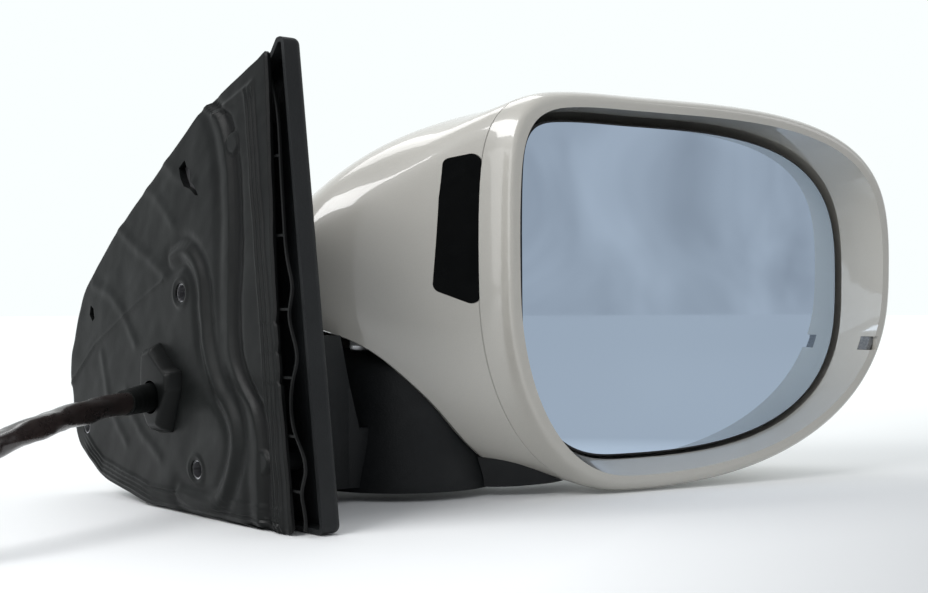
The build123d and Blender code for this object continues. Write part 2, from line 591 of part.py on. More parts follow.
def base_gasket():
    """Rubber face against the door, with its bolt, clip and cable openings."""
    face = base_face(GASKET_TOP, GASKET_RADII, GASKET_REAR, GASKET_REAR_RADII)
    gasket = extrude(face, amount=GASKET, dir=(1, 0, 0))
    for y, z, _, insert_r, _ in BOLTS:
        gasket -= pin_x(y, z, -1, 9, insert_r + RUN_CLEAR)
    for y, z in COVER_SCREWS:
        gasket -= pin_x(y, z, 0.5, 9, 3.6)
    gasket -= box(-1, 9, *CLIP_HOLE)
    for line in range(3):
        gasket -= Pos(0, -56 - 2.6 * line, 0) * Rot(-SLOT_LEAN, 0, 0) * box(-0.5, 0.5, -0.5, 0.5, -40, 105)
    return gasket - grommet_block(1)


def grommet_block(out):
    """Block of the cable's boss, from the gasket's back to a distance in front of the face."""
    return fillet(box(-out, GASKET, *GROMMET).edges().filter_by(Axis.X), GROMMET_R)


def cable_grommet():
    """Rubber boss, its mouth square to the cable."""
    hood = grommet_block(GROMMET_OUT)
    direction = cable_direction()
    mouth = Vector(*CABLE[0])
    keep = Plane(mouth, z_dir=direction) * Pos(0, 0, 30) * Box(120, 120, 60)
    hole = Plane(mouth, z_dir=direction) * Cylinder(CABLE_R, 60)
    return biggest(hood - keep - hole)


def edge_seal():
    """Thin wavy lip in the slot behind the sail, tied to the gasket's back by small bridges."""
    edges = [[Vector(y + side, z) for y, z in SEAL] for side in (-SEAL_WIDE / 2, SEAL_WIDE / 2)]
    near, far = Edge.make_spline(edges[0]), Edge.make_spline(edges[1])
    ends = [Edge.make_line(edges[0][end], edges[1][end]) for end in (0, -1)]
    outline = Plane.YZ * Face(Wire([near, far, *ends]))
    lip = extrude(Pos(SEAL_FACE, 0, 0) * outline, amount=SEAL_BACK - SEAL_FACE, dir=(1, 0, 0))
    for z in SEAL_BRIDGES:
        y = seal_y(z)
        lip += box(SEAL_FACE, SEAL_BACK - 0.1, y, y + 14, z - 0.5, z + 0.5)
    return lip


def seal_y(z):
    """Y of the lip at a level, between its points."""
    for (y1, z1), (y0, z0) in zip(SEAL, SEAL[1:]):
        if z0 <= z <= z1:
            return y0 + (y1 - y0) * (z - z0) / (z1 - z0)
    return SEAL[0][0]


# ---------------------------------------------------------------- harness
CABLE = [
    (-9.0, 24.7, -8.3), (-28.0, 13.0, -9.5), (-52.0, -2.5, -11.0), (-76.0, -17.0, -14.0),
    (-101.0, -30.0, -19.5), (-128.0, -41.0, -28.0), (-157.0, -46.0, -37.0), (-187.0, -43.0, -45.0),
    (-214.0, -29.0, -50.0), (-234.0, -5.0, -51.0), (-243.0, 26.0, -51.0), (-240.0, 58.0, -51.0),
    (-226.0, 87.0, -51.0), (-202.0, 108.0, -51.0), (-171.0, 117.0, -51.0),
]
PLUG = (34.0, 22.0, 14.0)


def cable_direction():
    return (Vector(*CABLE[1]) - Vector(*CABLE[0])).normalized()


def corner_radii(points):
    radii = []
    for before, here, after in zip(points, points[1:], points[2:]):
        come, go = Vector(*here) - Vector(*before), Vector(*after) - Vector(*here)
        turn = math.radians(come.get_angle(go))
        radii.append(0.45 * min(come.length, go.length) / math.tan(turn / 2))
    return radii


def harness():
    """Round tube that follows the cable's route with rounded corners."""
    path = FilletPolyline(*CABLE, radius=corner_radii(CABLE))
    return sweep(Plane(path @ 0, z_dir=path % 0) * Circle(CABLE_R), path=path)


def harness_connector():
    """Multi-pin plug on the harness end, lying on the same surface."""
    end, before = Vector(*CABLE[-1]), Vector(*CABLE[-2])
    heading = math.degrees(math.atan2(end.Y - before.Y, end.X - before.X))
    length, width, height = PLUG
    body = Pos(5 + length / 2, 0, height / 2 - CABLE_R) * Box(length, width, height)
    body = fillet(body.edges().filter_by(Axis.X), 2)
    body -= Pos(5 + length - 5, 0, height / 2 - CABLE_R) * Box(12, width - 4, height - 4)
    for row in (-1, 1):
        for column in range(-2, 3):
            body += Pos(5 + length - 8, column * 3, height / 2 - CABLE_R + row * 2.4) * Box(6, 1, 1)
    body += Pos(2.5, 0, 0) * Rot(0, 90, 0) * Cylinder(CABLE_R + 1, 5) & box(0, 80, -20, 20, -CABLE_R, 40)
    body += Pos(5 + length / 2, 0, height - CABLE_R + 1) * Box(14, 7, 2.4)
    return Pos(end.X, end.Y, end.Z) * Rot(0, 0, heading) * body


# ---------------------------------------------------------------- light units
def assist_unit():
    """Lamp carrier behind the assist lens."""
    carrier = box(-23, -9, 22, 33, 38, 92)
    carrier -= box(-21, -11, 20, 30, 40, 90)
    for step in range(6):
        carrier += box(-18.5, -13.5, 27, 30.5, 44 + 8 * step, 48 + 8 * step)
    return carrier


def indicator_unit():
    """Lamp strip behind the turn-signal lens."""
    strip = box(100, 152, 84, 86, 39, 49)
    for step in range(5):
        strip += box(104 + 9 * step, 108 + 9 * step, 85.5, 88, 42, 46)
    return strip


def main():
    os.makedirs("parts", exist_ok=True)
    outer, inner = envelope(), envelope(WALL)
    shell, lower, lens, repeater = head_shells(outer, inner)
    rim, pane = bezel_rim(outer)
    glass, pad, holder = glass_parts()
    drive, lid, motors = actuator()
    head = {
        "housing_shell": shell, "head_lower_cover": lower, "assist_lens": lens,
        "indicator_lens": repeater, "bezel_rim": rim, "indicator_window": pane,
        "mirror_glass": glass, "heater_pad": pad, "glass_holder": holder, "tilt_cross": tilt_cross(),
        "jack_sideways": jack(*JACKS[0]), "jack_upright": jack(*JACKS[1]),
        "actuator_housing": drive, "actuator_cover": lid,
        "tilt_motor_low": motors[0], "tilt_motor_high": motors[1],
        "actuator_screws": Compound(actuator_screws()), "head_frame": head_frame(),
        "stop_ring": stop_ring(), "pivot_shaft": pivot_shaft(), "pivot_screws": Compound(pivot_screws()),
        "fold_gear": fold_gear(), "fold_spring": fold_spring(),
        "spring_retainer": rod(PIVOT_T, PIVOT_W, SPRING_TOP + 0.1, SPRING_TOP + 3.5, 13, SHAFT_R),
        "fold_worm": fold_worm(), "fold_case": fold_case(), "fold_motor": fold_motor(),
        "assist_unit": assist_unit(), "indicator_unit": indicator_unit(),
    }
    foot = {
        "base_cover": base_cover(), "base_bracket": base_bracket(),
        "mounting_inserts": Compound(inserts()), "cover_screws": Compound(cover_screws()),
        "base_gasket": base_gasket(), "cable_grommet": cable_grommet(), "edge_seal": edge_seal(),
        "harness": harness(), "harness_connector": harness_connector(),
    }
    for name, part in head.items():
        save(name, place(part))
    for name, part in foot.items():
        save(name, part)


main()
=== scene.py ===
import json
import math

import bmesh
import bpy
from mathutils import Matrix, Vector, noise


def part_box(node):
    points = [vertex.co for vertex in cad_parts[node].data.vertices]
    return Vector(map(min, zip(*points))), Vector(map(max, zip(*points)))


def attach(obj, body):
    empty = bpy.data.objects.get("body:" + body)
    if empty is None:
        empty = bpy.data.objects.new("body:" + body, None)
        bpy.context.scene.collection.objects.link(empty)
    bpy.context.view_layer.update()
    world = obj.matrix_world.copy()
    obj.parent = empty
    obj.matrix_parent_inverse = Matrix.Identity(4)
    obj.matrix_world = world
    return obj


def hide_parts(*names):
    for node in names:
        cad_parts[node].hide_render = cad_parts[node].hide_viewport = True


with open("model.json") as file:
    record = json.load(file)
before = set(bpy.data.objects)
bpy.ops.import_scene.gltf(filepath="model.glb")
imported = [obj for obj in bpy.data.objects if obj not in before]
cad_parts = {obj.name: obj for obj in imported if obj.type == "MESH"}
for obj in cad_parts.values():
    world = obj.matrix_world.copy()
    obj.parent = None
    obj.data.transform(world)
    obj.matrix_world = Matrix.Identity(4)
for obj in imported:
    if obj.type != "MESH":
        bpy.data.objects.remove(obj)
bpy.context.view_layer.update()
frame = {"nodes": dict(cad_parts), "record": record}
nodes = frame["nodes"]

ROUND_SIDES = 40  # sides of a round hole or rod
TUBE_SIDES = 28


# ------------------------------------------------------------------ small tools
def mm(*values):
    return Vector(values) / 1000.0


def link(name, mesh):
    obj = bpy.data.objects.new(name, mesh)
    bpy.context.scene.collection.objects.link(obj)
    return obj


def mesh_from(bm, name):
    """A mesh made from a finished bmesh, its faces turned outwards."""
    bmesh.ops.recalc_face_normals(bm, faces=bm.faces)
    mesh = bpy.data.meshes.new(name)
    bm.to_mesh(mesh)
    bm.free()
    return mesh


def smooth(mesh, angle):
    """Smooth shading with edges over the angle kept sharp."""
    for poly in mesh.polygons:
        poly.use_smooth = True
    bm = bmesh.new()
    bm.from_mesh(mesh)
    limit = math.radians(angle)
    for edge in bm.edges:
        edge.smooth = len(edge.link_faces) == 2 and edge.calc_face_angle(0.0) < limit
    bm.to_mesh(mesh)
    bm.free()


def join_rings(bm, rings):
    """Faces between rings of corners that follow each other."""
    for ring, after in zip(rings, rings[1:]):
        for i in range(len(ring)):
            j = (i + 1) % len(ring)
            bm.faces.new((ring[i], ring[j], after[j], after[i]))


def circle(y, z, radius):
    turns = [2 * math.pi * i / ROUND_SIDES for i in range(ROUND_SIDES)]
    return [(y + radius * math.cos(turn), z + radius * math.sin(turn)) for turn in turns]


def prism(outline, x0, x1):
    """Closed block with an outline in Y and Z, between two X places."""
    bm = bmesh.new()
    ends = [[bm.verts.new(mm(x, y, z)) for y, z in outline] for x in (x0, x1)]
    bm.faces.new(ends[0])
    bm.faces.new(ends[1])
    join_rings(bm, ends)
    return mesh_from(bm, "cutter")


def rod(start, end, radius):
    """Closed round rod between two places, all in millimetres."""
    start, end = mm(*start), mm(*end)
    bm = bmesh.new()
    bmesh.ops.create_cone(bm, cap_ends=True, segments=ROUND_SIDES, radius1=radius / 1000,
                          radius2=radius / 1000, depth=(end - start).length)
    turn = (end - start).to_track_quat("Z", "Y").to_matrix().to_4x4()
    bmesh.ops.transform(bm, matrix=Matrix.Translation((start + end) / 2) @ turn, verts=bm.verts)
    return mesh_from(bm, "rod")


def carve(obj, cutter_meshes):
    """Cuts closed meshes out of a piece."""
    for cutter_mesh in cutter_meshes:
        cutter = link("cutter", cutter_mesh)
        cut = obj.modifiers.new("cut", "BOOLEAN")
        cut.operation, cut.solver, cut.object = "DIFFERENCE", "EXACT", cutter
        graph = bpy.context.evaluated_depsgraph_get()
        cut_mesh = bpy.data.meshes.new_from_object(obj.evaluated_get(graph))
        obj.modifiers.clear()
        obj.data = cut_mesh
        bpy.data.objects.remove(cutter)


# ------------------------------------------------------------------ node trees
class NodeKit:
    """Short calls that add procedural nodes to a tree, all from one kind of place."""

    def __init__(self, tree, place):
        self.tree = tree
        self.place = tree.nodes.new("ShaderNodeTexCoord").outputs[place]

    def node(self, kind, **values):
        made = self.tree.nodes.new(kind)
        for key, value in values.items():
            if key in made.inputs:
                made.inputs[key].default_value = value
            else:
                setattr(made, key, value)
        return made

    def wire(self, out, into):
        self.tree.links.new(out, into)

    def noise(self, scale, detail=4.0, rough=0.55, stretch=None, distortion=0.0):
        made = self.node("ShaderNodeTexNoise", Scale=scale, Detail=detail, Roughness=rough,
                         Distortion=distortion)
        self.wire(self.stretched(stretch), made.inputs["Vector"])
        return made.outputs["Fac"]

    def stretched(self, stretch):
        if not stretch:
            return self.place
        made = self.node("ShaderNodeMapping", Scale=stretch)
        self.wire(self.place, made.inputs["Vector"])
        return made.outputs["Vector"]

    def cells(self, scale, feature="F1"):
        made = self.node("ShaderNodeTexVoronoi", Scale=scale, feature=feature)
        self.wire(self.place, made.inputs["Vector"])
        return made.outputs["Distance"]

    def ribs(self, scale):
        made = self.node("ShaderNodeTexWave", Scale=scale, bands_direction="X")
        self.wire(self.place, made.inputs["Vector"])
        return made.outputs["Fac"]

    def along(self, x, y):
        """Distance of a place along a level direction."""
        made = self.node("ShaderNodeVectorMath", operation="DOT_PRODUCT")
        made.inputs[1].default_value = (x, y, 0.0)
        self.wire(self.place, made.inputs[0])
        return made.outputs["Value"]

    def ramp(self, source, *stops):
        """A value turned into a grey or a colour, from stops of a value and a tone."""
        made = self.node("ShaderNodeValToRGB")
        points = made.color_ramp.elements
        while len(points) < len(stops):
            points.new(0.5)
        for point, (at, tone) in zip(points, stops):
            point.position = at
            point.color = (*tone, 1.0) if isinstance(tone, tuple) else (tone, tone, tone, 1.0)
        self.wire(source, made.inputs["Fac"])
        return made.outputs["Color"]

    def spread(self, source, start, end, low=0.0, high=1.0):
        """A value taken from one range to another and held at its ends."""
        made = self.node("ShaderNodeMapRange")
        for socket, value in (("From Min", start), ("From Max", end), ("To Min", low), ("To Max", high)):
            made.inputs[socket].default_value = value
        self.wire(source, made.inputs["Value"])
        return made.outputs["Result"]

    def blend(self, share, one, two):
        """Two colours mixed; a share or a colour is a constant or another node's output."""
        made = self.node("ShaderNodeMix", data_type="RGBA")
        for source, socket in ((share, made.inputs[0]), (one, made.inputs[6]), (two, made.inputs[7])):
            if isinstance(source, float):
                socket.default_value = source
            elif isinstance(source, tuple):
                socket.default_value = (*source, 1.0)
            else:
                self.wire(source, socket)
        return made.outputs[2]


class Paint(NodeKit):
    """A Principled material built up from procedural nodes in object space."""

    def __init__(self, name, **sockets):
        self.material = bpy.data.materials.new(name)
        self.material.use_nodes = True
        super().__init__(self.material.node_tree, "Object")
        self.shader = self.tree.nodes["Principled BSDF"]
        self.normal = None
        for socket, value in sockets.items():
            self.shader.inputs[socket.replace("_", " ")].default_value = value

    def colour(self, source):
        self.wire(source, self.shader.inputs["Base Color"])
        return self

    def rough(self, source, low, high):
        self.wire(self.spread(source, 0.0, 1.0, low, high), self.shader.inputs["Roughness"])
        return self

    def bump(self, source, deep, strength=1.0):
        made = self.node("ShaderNodeBump", Strength=strength, Distance=deep)
        self.wire(source, made.inputs["Height"])
        if self.normal is not None:
            self.wire(self.normal, made.inputs["Normal"])
        self.normal = made.outputs["Normal"]
        self.wire(self.normal, self.shader.inputs["Normal"])
        return self


# ------------------------------------------------------------------ materials
# A noise call gives scale, detail and roughness. Colours are linear. Depths of bumps are metres.
BLACK = (0.0, 0.0, 0.0)
CREAM = (0.415, 0.402, 0.365), (0.455, 0.44, 0.40)
CREAM_DUST = (0.37, 0.36, 0.325)
SHELL_BLACK = (0.0065, 0.0075, 0.0082), (0.012, 0.0135, 0.0145)
RUBBER_BLACK = (0.0026, 0.0031, 0.003), (0.0078, 0.009, 0.0087)
RUBBER_RUBBED = (0.024, 0.026, 0.025)
# Painted shade for the rubber's hollows: its colour, and the X of the raised face and of the hollows, between
# which it deepens.
RUBBER_HOLLOW_SHADE = (0.0012, 0.0015, 0.0015)
HIGH_FACE, HOLLOW_FACE = 0.0004, 0.0021  # X of the rubber's raised face and of its hollows
WINDOW_BLACK = (0.0012, 0.0014, 0.0014), (0.00264, 0.00308, 0.00308)
MIRROR_BLUE = (0.62, 0.74, 0.89), (0.65, 0.78, 0.93)
SHEATH_BROWN = (0.006, 0.004, 0.004), (0.030, 0.020, 0.018)
SMOKE_GREY = (0.10, 0.105, 0.11), (0.17, 0.175, 0.18)
LENS_WHITE = (0.62, 0.63, 0.64), (0.78, 0.79, 0.80)


def body_paint():
    """Warm off-white clear-coated paint with faint orange peel and dust."""
    p = Paint("warm_white_paint", Coat_Weight=1.0, Coat_Roughness=0.03, Coat_IOR=1.5, Roughness=0.35)
    flake = p.ramp(p.cells(2600.0), (0.0, 0.0), (0.5, 1.0))
    dust = p.ramp(p.noise(14.0, 5.0), (0.45, 0.0), (0.8, 0.25))
    p.colour(p.blend(dust, p.blend(flake, *CREAM), CREAM_DUST))
    p.rough(p.noise(90.0), 0.28, 0.42)
    return p.bump(p.noise(420.0, 2.0, 0.4), 0.000012, 0.5)


def grained_black():
    """Black moulded plastic with fine leather-like grain, paler where handled."""
    p = Paint("grained_black_plastic", Specular_IOR_Level=0.26)
    handled = p.ramp(p.noise(22.0, 6.0, 0.6), (0.4, 0.0), (0.75, 1.0))
    p.colour(p.blend(handled, *SHELL_BLACK))
    p.rough(p.noise(160.0, 4.0), 0.42, 0.62)
    p.bump(p.cells(1500.0, "SMOOTH_F1"), 0.00012, 0.35)
    return p.bump(p.noise(900.0, 3.0), 0.00008, 0.3)


def gasket_rubber():
    """Grey-black moulded rubber: chalky and rubbed on its raised face, with painted shade that darkens its
    hollows by their depth.
    """
    p = Paint("moulded_rubber", Specular_IOR_Level=0.17)
    chalk = p.ramp(p.noise(9.0, 8.0, 0.62), (0.35, 0.0), (0.8, 1.0))
    streak = p.ramp(p.noise(30.0, 6.0, 0.65, stretch=(1.0, 1.0, 0.22)), (0.5, 0.0), (0.72, 1.0))
    rubbed = p.blend(p.blend(0.4, BLACK, streak), p.blend(chalk, *RUBBER_BLACK), RUBBER_RUBBED)
    # painted shade: the rubber darkens with depth towards its hollows, where shade falls
    hollow_shade = p.spread(p.along(1.0, 0.0), HIGH_FACE, HOLLOW_FACE)
    p.colour(p.blend(hollow_shade, rubbed, RUBBER_HOLLOW_SHADE))
    p.rough(p.noise(48.0, 6.0, 0.6), 0.30, 0.55)
    p.bump(p.noise(700.0, 4.0), 0.00006, 0.4)
    return p.bump(p.noise(60.0, 3.0), 0.0006, 0.12)


def assist_window():
    """Deep gloss black over the assist light."""
    p = Paint("assist_window_gloss", Specular_IOR_Level=0.08)
    deep, pale = WINDOW_BLACK
    p.colour(p.ramp(p.noise(120.0), (0.3, deep), (0.9, pale)))
    p.rough(p.noise(260.0, 5.0), 0.03, 0.09)
    return p.bump(p.noise(500.0, 2.0), 0.000008, 0.4)


def mirror_silver():
    """First-surface look of a blue-tinted door mirror."""
    p = Paint("blue_tinted_mirror", Metallic=1.0)
    deep, pale = MIRROR_BLUE
    p.colour(p.ramp(p.noise(6.0, 3.0), (0.3, deep), (0.8, pale)))
    p.rough(p.ramp(p.noise(35.0, 6.0, 0.6), (0.5, 0.0), (0.9, 1.0)), 0.02, 0.07)
    return p.bump(p.noise(5.0, 1.0), 0.0002, 0.05)


def moulded(name, deep, pale, low=0.4, high=0.6):
    """Plain moulded plastic or film, its roughness between two values."""
    p = Paint(name)
    p.colour(p.ramp(p.noise(40.0, 5.0), (0.3, deep), (0.8, pale)))
    p.rough(p.noise(180.0), low, high)
    return p.bump(p.noise(600.0), 0.00006, 0.35)


def metal(name, deep, pale, low=0.25, high=0.45, grain=None):
    """Cast or drawn metal, its grain stretched along the work."""
    p = Paint(name, Metallic=1.0)
    p.colour(p.ramp(p.noise(70.0, 5.0, stretch=grain), (0.3, deep), (0.8, pale)))
    p.rough(p.noise(220.0, stretch=grain), low, high)
    return p.bump(p.noise(500.0, stretch=grain), 0.00004, 0.35)


def sheath():
    """Brown-black glossy sleeve of the wiring loom."""
    p = Paint("loom_sheath", Coat_Weight=0.5, Coat_Roughness=0.12)
    deep, pale = SHEATH_BROWN
    p.colour(p.ramp(p.noise(45.0, 6.0), (0.3, deep), (0.75, pale)))
    p.rough(p.noise(90.0, 5.0), 0.16, 0.4)
    return p.bump(p.noise(220.0, 5.0), 0.0003, 0.3)


def tinted_window():
    """Smoke-grey plastic of the small window in the funnel."""
    p = Paint("smoke_window_plastic", Coat_Weight=0.4, Coat_Roughness=0.05)
    deep, pale = SMOKE_GREY
    p.colour(p.ramp(p.cells(900.0), (0.1, deep), (0.7, pale)))
    return p.rough(p.noise(300.0), 0.12, 0.25)


def lamp_lens():
    """Pale ribbed lens of the turn signal."""
    p = Paint("turn_signal_lens", Transmission_Weight=0.35, IOR=1.49)
    deep, pale = LENS_WHITE
    p.colour(p.ramp(p.noise(80.0), (0.3, deep), (0.8, pale)))
    p.rough(p.noise(200.0), 0.04, 0.12)
    return p.bump(p.ribs(120.0), 0.0003, 0.6)


SLOT_PAINT = {
    "painted_body": body_paint(),
    "black_shell": grained_black(),
    "rubber": gasket_rubber(),
    "dark_lens": assist_window(),
    "lamp_lens": lamp_lens(),
    "smoke_window": tinted_window(),
    "mirror": mirror_silver(),
    "heater_film": moulded("heater_film", (0.16, 0.10, 0.04), (0.25, 0.16, 0.07)),
    "inner_plastic": moulded("inner_black_plastic", (0.02, 0.02, 0.021), (0.04, 0.04, 0.042)),
    "white_nylon": moulded("white_nylon", (0.62, 0.61, 0.57), (0.74, 0.73, 0.69), 0.35, 0.5),
    "cast_metal": metal("die_cast_metal", (0.10, 0.10, 0.105), (0.17, 0.17, 0.175), 0.45, 0.65),
    "steel": metal("plain_steel", (0.42, 0.42, 0.44), (0.62, 0.62, 0.64), grain=(1, 1, 0.2)),
    "cable_sheath": sheath(),
}
NODE_SLOT = {entry["node"]: entry["material_slot"] for entry in frame["record"]["subparts"]}


def coat(obj, slot):
    """Gives a piece or a CAD node the material of a slot."""
    obj.data.materials.clear()
    obj.data.materials.append(SLOT_PAINT[slot].material)


def piece(name, mesh, body, slot, *replaced):
    """A piece that rides on a body, and the CAD nodes that it stands for."""
    obj = link(name, mesh)
    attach(obj, body)
    coat(obj, slot)
    if replaced:
        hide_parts(*replaced)
    return obj


# ------------------------------------------------------------------ camera and stage
VIEW_TURN = math.radians(40.0)
VIEW_AHEAD = (math.sin(VIEW_TURN), math.cos(VIEW_TURN))
CAMERA_PLACE = mm(-313.4, -546.4, 34.5)
SENSOR = 36.0
FOCAL_SHARE = 1500.0 / 928.0  # focal length over the width of the picture

FLOOR_HALF = 6.0
FLOOR_DROP = 0.0005  # under the part's lowest level
FLOOR_PALE = (0.83, 0.84, 0.845), (0.86, 0.87, 0.875)
# Painted light on the floor: a dim glow where the glass reflects it, and a white glow ahead of the camera.
BEHIND_WAY = (0.5, -1.0)  # level direction from the part to the floor that the glass reflects
BEHIND_FROM, BEHIND_FULL = 0.20, 0.42  # the floor dims between these distances along that way
BEHIND_GLOW = (0.44, 0.455, 0.475)
BEYOND_FROM, BEYOND_FULL = 0.05, 0.75  # and turns white between these, ahead of the camera
BACKDROP_WHITE = (0.955, 1.0, 1.0)
BACKDROP_FROM, BACKDROP_FULL = 0.1, 0.8  # cosines of the angle to the view
CLOTH = (0.27, 0.285, 0.305), (0.62, 0.635, 0.66)  # soft folds behind the camera, seen in the glass

LIT_PLACE = (0.12, 0.0, 0.04)
LAMPS = [  # name, place and size in metres, power in watts
    ("key", (-1.35, -0.1, 1.25), (1.2, 0.7), 24.0),
    ("top", (0.25, 0.8, 1.75), (1.3, 0.7), 10.0),
    ("side", (1.5, -1.3, 0.9), (0.6, 1.0), 3.0),
    ("window", (-1.3, -0.3, 0.3), (1.4, 0.6), 4.0),
]


def make_camera():
    data = bpy.data.cameras.new("camera")
    data.sensor_width = SENSOR
    data.lens = SENSOR * FOCAL_SHARE
    data.clip_start, data.clip_end = 0.01, 50.0
    camera = bpy.data.objects.new("camera", data)
    bpy.context.scene.collection.objects.link(camera)
    camera.location = CAMERA_PLACE
    camera.rotation_mode = "QUATERNION"
    camera.rotation_quaternion = Vector((*VIEW_AHEAD, 0)).to_track_quat("-Z", "Y")
    bpy.context.scene.camera = camera


def make_floor():
    """Pale floor under the part, with painted light: behind the camera it glows a fixed dim grey in place of
    lamplight, and beyond it glows as white as the backdrop.
    """
    mesh = bpy.data.meshes.new("floor")
    half = FLOOR_HALF
    mesh.from_pydata([(-half, -half, 0), (half, -half, 0), (half, half, 0), (-half, half, 0)],
                     [], [(0, 1, 2, 3)])
    floor = link("floor", mesh)
    floor.location.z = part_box("base_gasket")[0].z - FLOOR_DROP  # the gasket is the lowest part
    p = Paint("pale_floor", Roughness=0.8)
    deep, pale = FLOOR_PALE
    near = p.ramp(p.noise(1.2, 3.0), (0.3, deep), (0.8, pale))
    # painted shade: the floor's lit colour turns black behind the part, and a dim glow takes its place
    behind = p.ramp(p.along(*BEHIND_WAY), (BEHIND_FROM, 0.0), (BEHIND_FULL, 1.0))
    beyond = p.ramp(p.along(*VIEW_AHEAD), (BEYOND_FROM, 0.0), (BEYOND_FULL, 1.0))
    p.colour(p.blend(beyond, p.blend(behind, near, BLACK), BLACK))
    # painted light: the floor glows dim grey behind the part and white beyond it
    painted_glow = p.blend(beyond, p.blend(behind, BLACK, BEHIND_GLOW), BACKDROP_WHITE)
    p.wire(painted_glow, p.shader.inputs["Emission Color"])
    p.shader.inputs["Emission Strength"].default_value = 1.0
    floor.data.materials.append(p.material)


def make_world():
    """White backdrop beyond the part, and dimmer hanging cloth behind the camera."""
    world = bpy.data.worlds.new("studio")
    bpy.context.scene.world = world
    world.use_nodes = True
    kit = NodeKit(world.node_tree, "Generated")
    ahead = kit.spread(kit.along(*VIEW_AHEAD), BACKDROP_FROM, BACKDROP_FULL)
    folds = kit.noise(7.0, 2.5, 0.5, distortion=2.4)
    shade = world.node_tree.nodes["Background"]
    kit.wire(kit.blend(ahead, kit.blend(folds, *CLOTH), BACKDROP_WHITE), shade.inputs["Color"])


def soft_light(name, place, size, power):
    """A soft box that faces the part."""
    light = bpy.data.lights.new(name, "AREA")
    light.shape = "RECTANGLE"
    light.size, light.size_y = size
    light.energy = power
    lamp = bpy.data.objects.new(name, light)
    bpy.context.scene.collection.objects.link(lamp)
    lamp.location = place
    lamp.rotation_mode = "QUATERNION"
    lamp.rotation_quaternion = (Vector(LIT_PLACE) - Vector(place)).to_track_quat("-Z", "Y")


# ------------------------------------------------------------------ harness
# The route's places are millimetres, from the boss to the plug. The plug is a CAD node.
CABLE_ROUTE = [
    (-9.0, 24.7, -8.3), (-28.0, 13.0, -9.5), (-52.0, -2.5, -11.0), (-76.0, -17.0, -14.0),
    (-101.0, -30.0, -19.5), (-128.0, -41.0, -28.0), (-157.0, -46.0, -37.0), (-187.0, -43.0, -45.0),
    (-214.0, -29.0, -50.0), (-234.0, -5.0, -51.0), (-243.0, 26.0, -51.0), (-240.0, 58.0, -51.0),
    (-226.0, 87.0, -51.0), (-202.0, 108.0, -51.0), (-171.0, 117.0, -51.0),
]
CABLE_LENGTH = 0.42  # metres, as are the other sizes of the cable
CABLE_THICK = 0.010
LOBES, LOBE_RISE, LOBE_TWIST = 3, 0.00032, 75.0  # twisted wires under the sleeve; radians per metre
FOLDS = [(1.0, 0.00036), (2.7, 0.00016)]  # fineness and depth of the sleeve's folds
FOLD_ROUND, FOLD_ALONG = 1.2, 95.0  # how fine the folds are round the cable and along it
LOOM_INSET = 0.00042  # keeps the lobes inside the cable's diameter
SLEEVE_RADIUS, SLEEVE_TAPER = 0.0062, 0.0009
SLEEVE_RING, SLEEVE_RINGS = 0.00012, 60.0  # height of the small rings on it, radians along it
SLEEVE_START, SLEEVE_STEP, SLEEVE_PLACES = -0.0075, 0.0015, 18


def route_curve():
    curve = bpy.data.curves.new("route", "CURVE")
    curve.dimensions = "3D"
    curve.resolution_u = 24
    spline = curve.splines.new("NURBS")
    spline.points.add(len(CABLE_ROUTE) - 1)
    for point, place in zip(spline.points, CABLE_ROUTE):
        point.co = (*mm(*place), 1.0)
    spline.order_u = 3
    spline.use_endpoint_u = True
    return curve


def route_line():
    """Places along the route's smooth curve."""
    guide = link("route", route_curve())
    graph = bpy.context.evaluated_depsgraph_get()
    line = bpy.data.meshes.new_from_object(guide.evaluated_get(graph))
    places = [v.co.copy() for v in line.vertices]
    bpy.data.objects.remove(guide)
    return places


def tube(name, places, radius_at):
    """Closed tube that follows places, its radius from a share along it and an angle."""
    bm = bmesh.new()
    side = (places[1] - places[0]).orthogonal().normalized()
    rings = []
    total = sum((b - a).length for a, b in zip(places, places[1:]))
    run = 0.0
    for i, place in enumerate(places):
        ahead = places[min(i + 1, len(places) - 1)] - places[max(i - 1, 0)]
        ahead.normalize()
        side = (side - ahead * side.dot(ahead)).normalized()
        across = ahead.cross(side)
        ring = []
        for k in range(TUBE_SIDES):
            angle = 2 * math.pi * k / TUBE_SIDES
            r = radius_at(run / total, angle)
            ring.append(bm.verts.new(place + r * (math.cos(angle) * side + math.sin(angle) * across)))
        rings.append(ring)
        if i + 1 < len(places):
            run += (places[i + 1] - place).length
    join_rings(bm, rings)
    bm.faces.new(rings[0])
    bm.faces.new(rings[-1])
    return mesh_from(bm, name)


def loom_radius(share, angle):
    """Soft sleeve drawn over twisted wires: three lobes that wind along it, and small folds."""
    run = share * CABLE_LENGTH
    lobes = LOBE_RISE * math.cos(LOBES * (angle - run * LOBE_TWIST))
    spot = Vector((math.cos(angle) * FOLD_ROUND, math.sin(angle) * FOLD_ROUND, run * FOLD_ALONG))
    folds = sum(depth * noise.noise(spot * fine) for fine, depth in FOLDS)
    return CABLE_THICK / 2 - LOOM_INSET + lobes + folds


def sleeve_radius(share, angle):
    """Tapered rubber sleeve with small rings, the same all the way round."""
    return SLEEVE_RADIUS - SLEEVE_TAPER * share + SLEEVE_RING * math.cos(share * SLEEVE_RINGS)


def make_harness():
    line = route_line()
    loom = piece("loom", tube("loom", line, loom_radius), "foot", "cable_sheath", "harness")
    smooth(loom.data, 60.0)
    start, ahead = line[0], (line[1] - line[0]).normalized()
    sleeve_line = [start + ahead * (SLEEVE_START + SLEEVE_STEP * i) for i in range(SLEEVE_PLACES)]
    sleeve = piece("cable_sleeve", tube("sleeve", sleeve_line, sleeve_radius), "foot", "rubber")
    smooth(sleeve.data, 60.0)


